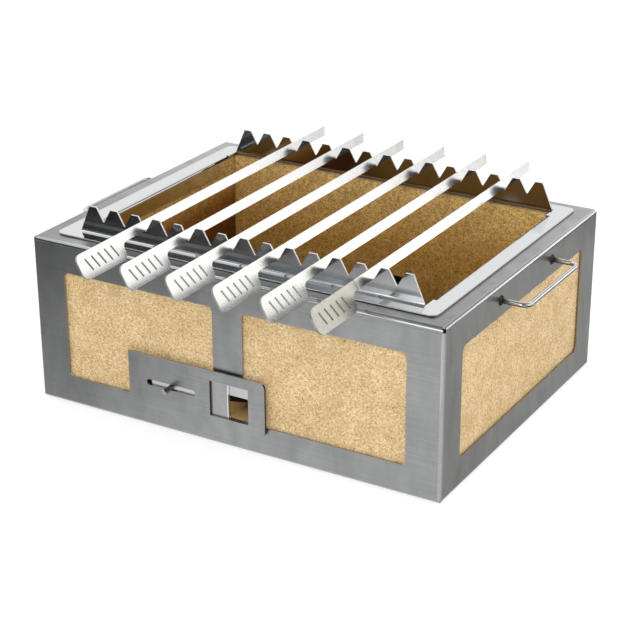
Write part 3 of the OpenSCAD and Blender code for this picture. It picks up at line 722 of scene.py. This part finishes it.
board, tree, shader = shaded_material("pressed_vermiculite", Roughness=0.92)
spot = add(tree, "ShaderNodeTexCoord")
warp = add(tree, "ShaderNodeTexNoise", {"Vector": spot.outputs["Object"], "Scale": 1 / WARP, "Detail": 2.0})
bent = add(tree, "ShaderNodeVectorMath", {0: warp.outputs["Color"], 1: (WARP_BY, WARP_BY, WARP_BY),
                                          2: spot.outputs["Object"]}, operation="MULTIPLY_ADD")
flake = add(tree, "ShaderNodeTexVoronoi", {"Vector": bent.outputs[0], "Scale": 1 / FLAKE})
own = add(tree, "ShaderNodeSeparateColor", {0: flake.outputs["Color"]})
tone = add(tree, "ShaderNodeValToRGB", {0: own.outputs[0]},
           stops=((0.0, "#cfae7c"), (0.3, "#dcbc8a"), (0.65, "#e6cb9c"), (1.0, "#f0dcb4")))
speck = add(tree, "ShaderNodeTexVoronoi", {"Vector": bent.outputs[0], "Scale": 1 / SPECK})
its = add(tree, "ShaderNodeSeparateColor", {0: speck.outputs["Color"]})
dark = add(tree, "ShaderNodeMapRange", {"Value": its.outputs[1], "From Min": 0.90, "From Max": 0.94})
speckled = add(tree, "ShaderNodeMix", {0: dark.outputs[0], 6: tone.outputs[0], 7: "#b38a57"},
               data_type="RGBA")
cloud = add(tree, "ShaderNodeTexNoise", {"Vector": spot.outputs["Object"], "Scale": 1 / CLOUD, "Detail": 3.0})
wash = add(tree, "ShaderNodeValToRGB", {0: cloud.outputs[0]}, stops=((0.35, "#f1ebe2"), (0.65, "#ffffff")))
outer_face = add(tree, "ShaderNodeMix", {0: 1.0, 6: speckled.outputs[2], 7: wash.outputs[0]},
                 data_type="RGBA", blend_type="MULTIPLY")
print("flakes of", round(FLAKE * 1000, 1), "mm")

# %% [markdown]
# The chamber's own faces are fired brown, and painted darker towards the bottom and on the two side walls, a
# painted shade. The heat has also opened small pits and left a mottle. All of it is only inside the chamber, so
# the shader asks how far a point lies from the middle.

# %% The fired and shaded faces of the chamber
CHAMBER = (195.0 * MM, 142.5 * MM)
FIRED_SHADE_FROM, FIRED_SHADE_TO = 45 * MM, 170 * MM
PIT = 1.3 * MM
MOTTLE = 5 * MM

at = add(tree, "ShaderNodeSeparateXYZ", {0: spot.outputs["Object"]})
far = [add(tree, "ShaderNodeMath", {0: at.outputs[axis]}, operation="ABSOLUTE") for axis in range(2)]
insides = [add(tree, "ShaderNodeMath", {0: far[axis].outputs[0], 1: reach}, operation="LESS_THAN")
           for axis, reach in enumerate(CHAMBER)]
inside = add(tree, "ShaderNodeMath", {0: insides[0].outputs[0], 1: insides[1].outputs[0]},
             operation="MULTIPLY")
# Towards the bottom and on the side walls the brown is painted darker, a painted shade.
depth = add(tree, "ShaderNodeMapRange", {"Value": at.outputs[2], "From Min": FIRED_SHADE_FROM, "From Max": FIRED_SHADE_TO})
fired_tone_shaded_down = add(tree, "ShaderNodeValToRGB", {0: depth.outputs[0]},
                stops=((0.0, "#bba265"), (0.2, "#cbb57c"), (0.44, "#cfb678"), (0.72, "#e6d5a6"),
                       (1.0, "#fdf6cb")))
side_wall_painted_shade = add(tree, "ShaderNodeValToRGB", {0: depth.outputs[0]},
                stops=((0.38, "#97703a"), (0.64, "#b49856"), (0.88, "#ffffff")))
facing = add(tree, "ShaderNodeSeparateXYZ", {0: spot.outputs["Normal"]})
aside = add(tree, "ShaderNodeMath", {0: facing.outputs[0]}, operation="ABSOLUTE")
side_wall = add(tree, "ShaderNodeMath", {0: aside.outputs[0], 1: 0.5}, operation="GREATER_THAN")
fired_tone_and_shade = add(tree, "ShaderNodeMix", {0: side_wall.outputs[0], 6: fired_tone_shaded_down.outputs[0],
                                    7: side_wall_painted_shade.outputs[0]}, data_type="RGBA", blend_type="MULTIPLY")
grit = add(tree, "ShaderNodeTexVoronoi", {"Vector": bent.outputs[0], "Scale": 1 / PIT})
picked = add(tree, "ShaderNodeSeparateColor", {0: grit.outputs["Color"]})
pits = add(tree, "ShaderNodeMapRange", {"Value": picked.outputs[0], "From Min": 0.80, "From Max": 0.86,
                                        "To Max": 0.5})
mottle = add(tree, "ShaderNodeTexNoise", {"Vector": spot.outputs["Object"], "Scale": 1 / MOTTLE,
                                          "Detail": 3.0, "Roughness": 0.6})
shades = add(tree, "ShaderNodeMapRange", {"Value": mottle.outputs[0], "From Min": 0.3, "From Max": 0.7,
                                          "To Min": 0.9, "To Max": 1.3})
mottled = add(tree, "ShaderNodeVectorMath", {0: outer_face.outputs[2], "Scale": shades.outputs[0]},
              operation="SCALE")
pitted = add(tree, "ShaderNodeMix", {0: pits.outputs[0], 6: mottled.outputs[0], 7: "#85552a"},
             data_type="RGBA")
inner_face = add(tree, "ShaderNodeMix", {0: 1.0, 6: pitted.outputs[2], 7: fired_tone_and_shade.outputs[2]},
                 data_type="RGBA", blend_type="MULTIPLY")
colour = add(tree, "ShaderNodeMix", {0: inside.outputs[0], 6: outer_face.outputs[2], 7: inner_face.outputs[2]},
             data_type="RGBA")
tree.links.new(colour.outputs[2], shader.inputs["Base Color"])
print("chamber reaches", [round(reach * 1000, 1) for reach in CHAMBER], "mm from the middle")

# %% [markdown]
# The vent's tunnel goes through the front board and, behind, through the back board. Its floor is painted darker
# towards the chamber's end, a painted shade. Its side walls are lit by the opening up to a line that falls
# towards the chamber, and dark above it. Last, the boards' outer corners lie behind the casing's corner reliefs,
# where they are painted dark, a painted shade.

# %% The tunnels and the corners
TUNNEL_X = (-2 * MM, 27 * MM)
TUNNEL_Y = (142.4 * MM, 176.5 * MM)
TUNNEL_Z = (FLOOR_TOP - 1 * MM, FLOOR_TOP + 26 * MM)
TUNNEL_SHADE_Y = (176 * MM, 142 * MM)
LIT_UP_TO = (18 * MM, 2 * MM)
CORNER = (218 * MM, 165 * MM)

tunnels = [inside_box(tree, (TUNNEL_X[0], low, TUNNEL_Z[0]), (TUNNEL_X[1], high, TUNNEL_Z[1]))
           for low, high in ((-TUNNEL_Y[1], -TUNNEL_Y[0]), TUNNEL_Y)]
tunnel = add(tree, "ShaderNodeMath", {0: tunnels[0], 1: tunnels[1]}, operation="MAXIMUM")
# The tunnel floor is painted darker towards the chamber, a painted shade.
deep = add(tree, "ShaderNodeMapRange", {"Value": far[1].outputs[0], "From Min": TUNNEL_SHADE_Y[0],
                                        "From Max": TUNNEL_SHADE_Y[1]})
floor_tone = add(tree, "ShaderNodeValToRGB", {0: deep.outputs[0]},
                 stops=((0.0, "#c8ab74"), (0.55, "#a68550"), (1.0, "#4f3514")))
lit_to = add(tree, "ShaderNodeMapRange", {"Value": deep.outputs[0], "To Min": FLOOR_TOP + LIT_UP_TO[0],
                                          "To Max": FLOOR_TOP + LIT_UP_TO[1]})
in_light = add(tree, "ShaderNodeMath", {0: at.outputs[2], 1: lit_to.outputs[0]}, operation="LESS_THAN")
side_tone = add(tree, "ShaderNodeMix", {0: in_light.outputs[0], 6: "#241709", 7: "#b8955c"}, data_type="RGBA")
tunnel_tone = add(tree, "ShaderNodeMix", {0: side_wall.outputs[0], 6: floor_tone.outputs[0],
                                          7: side_tone.outputs[2]}, data_type="RGBA")
lay_over(tree, shader, tunnel.outputs[0], tunnel_tone.outputs[2])
# The boards' corners behind the reliefs are painted dark, a painted shade in the notch.
corner = [add(tree, "ShaderNodeMath", {0: far[axis].outputs[0], 1: reach}, operation="GREATER_THAN")
          for axis, reach in enumerate(CORNER)]
corner_painted_shade = add(tree, "ShaderNodeMath", {0: corner[0].outputs[0], 1: corner[1].outputs[0]}, operation="MULTIPLY")
lay_over(tree, shader, corner_painted_shade.outputs[0], "#4c4640")
relief = add(tree, "ShaderNodeBump", {"Height": flake.outputs["Distance"], "Strength": 0.35,
                                      "Distance": 0.5 * MM})
tree.links.new(relief.outputs[0], shader.inputs["Normal"])
finish_nodes(board, "floor_board", "front_board", "back_board", "left_board", "right_board")
print("five vermiculite boards")

# %% [markdown]
# ## Weld beads
#
# Each handle leg is welded to its wall all the way round. The welder adds wire in small steps, and every step
# leaves a ripple. A bead is a ring whose section is a quarter round between the leg and the wall. A torus from
# the menu would have to be cut and dented by hand, so the ring is worked out from two parameters instead. The
# weld's own metal is dark from the heat and has lost most of its gloss.

# %% Weld beads round the handle legs
BEAD = 1.1 * MM
SUNK = 0.25 * MM
RIPPLES = 14
RIPPLE_SHARE = 0.12
TURNS, STEPS = 84, 8
HEAT_PATCH = 1.2 * MM

bead_steel, tree, shader = shaded_material("welded_308_bead", Metallic=1.0)
spot = add(tree, "ShaderNodeTexCoord")
heat = add(tree, "ShaderNodeTexNoise", {"Vector": spot.outputs["Object"], "Scale": 1 / HEAT_PATCH,
                                        "Detail": 3.0})
tone = add(tree, "ShaderNodeValToRGB", {0: heat.outputs[0]},
           stops=((0.3, "#2a2725"), (0.5, "#4d4742"), (0.7, "#6f6a66")))
matt = add(tree, "ShaderNodeMapRange", {"Value": heat.outputs[0], "To Min": 0.3, "To Max": 0.55})
tree.links.new(tone.outputs[0], shader.inputs["Base Color"])
tree.links.new(matt.outputs[0], shader.inputs["Roughness"])


def weld_bead(name, y, z, leg_radius, side):
    """A rippled ring round a leg that leaves the wall at (y, z). Round the leg by an angle a, with a share t of
    the quarter round, the surface is at radius r + w (1 - sin(t pi / 2)) and stands w (1 - cos(t pi / 2)) off
    the wall, where w = bead (1 + ripple sin(ripples a)). The section's last point is sunk in the metal."""
    angle = np.linspace(0, 2 * np.pi, TURNS, endpoint=False)[:, None]
    share = np.linspace(0, np.pi / 2, STEPS)[None, :]
    wide = BEAD * (1 + RIPPLE_SHARE * np.sin(RIPPLES * angle))
    radius = leg_radius + wide * (1 - np.sin(share))
    off = wide * (1 - np.cos(share))
    radius = np.hstack([radius, np.full((TURNS, 1), leg_radius - SUNK)])
    off = np.hstack([off, np.full((TURNS, 1), -SUNK)])
    points = np.stack([side * (WALL + off), y + radius * np.cos(angle), z + radius * np.sin(angle)], -1)
    ring, row = np.meshgrid(np.arange(TURNS), np.arange(STEPS + 1), indexing="ij")
    here, on = ring * (STEPS + 1) + row, ring * (STEPS + 1) + (row + 1) % (STEPS + 1)
    there = (ring + 1) % TURNS * (STEPS + 1) + row
    there_on = (ring + 1) % TURNS * (STEPS + 1) + (row + 1) % (STEPS + 1)
    faces = np.stack([here, there, there_on, on] if side > 0 else [here, on, there_on, there], -1)
    mesh = bpy.data.meshes.new(name)
    mesh.from_pydata(points.reshape(-1, 3).tolist(), [], faces.reshape(-1, 4).tolist())
    mesh.shade_smooth()
    mesh.materials.append(bead_steel)
    bead = bpy.data.objects.new(name, mesh)
    scene.collection.objects.link(bead)
    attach(bead, "casing")
    corners = points.reshape(-1, 3)[faces.reshape(-1, 4)]
    volume = np.einsum("ij,ij->", corners[:, 0], np.cross(corners[:, 1], corners[:, 2])
                       + np.cross(corners[:, 2], corners[:, 3])) / 6
    return volume


for side, handle in ((-1, "left_handle"), (1, "right_handle")):
    low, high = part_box(handle)
    leg_radius = (high.z - low.z) / 2
    for end, y in (("front", low.y + leg_radius), ("back", high.y - leg_radius)):
        volume = weld_bead(f"{handle}_{end}_weld", y, low.z + leg_radius, leg_radius, side)
        print(handle, end, "bead of", round(volume * 1e9, 2), "cubic mm")
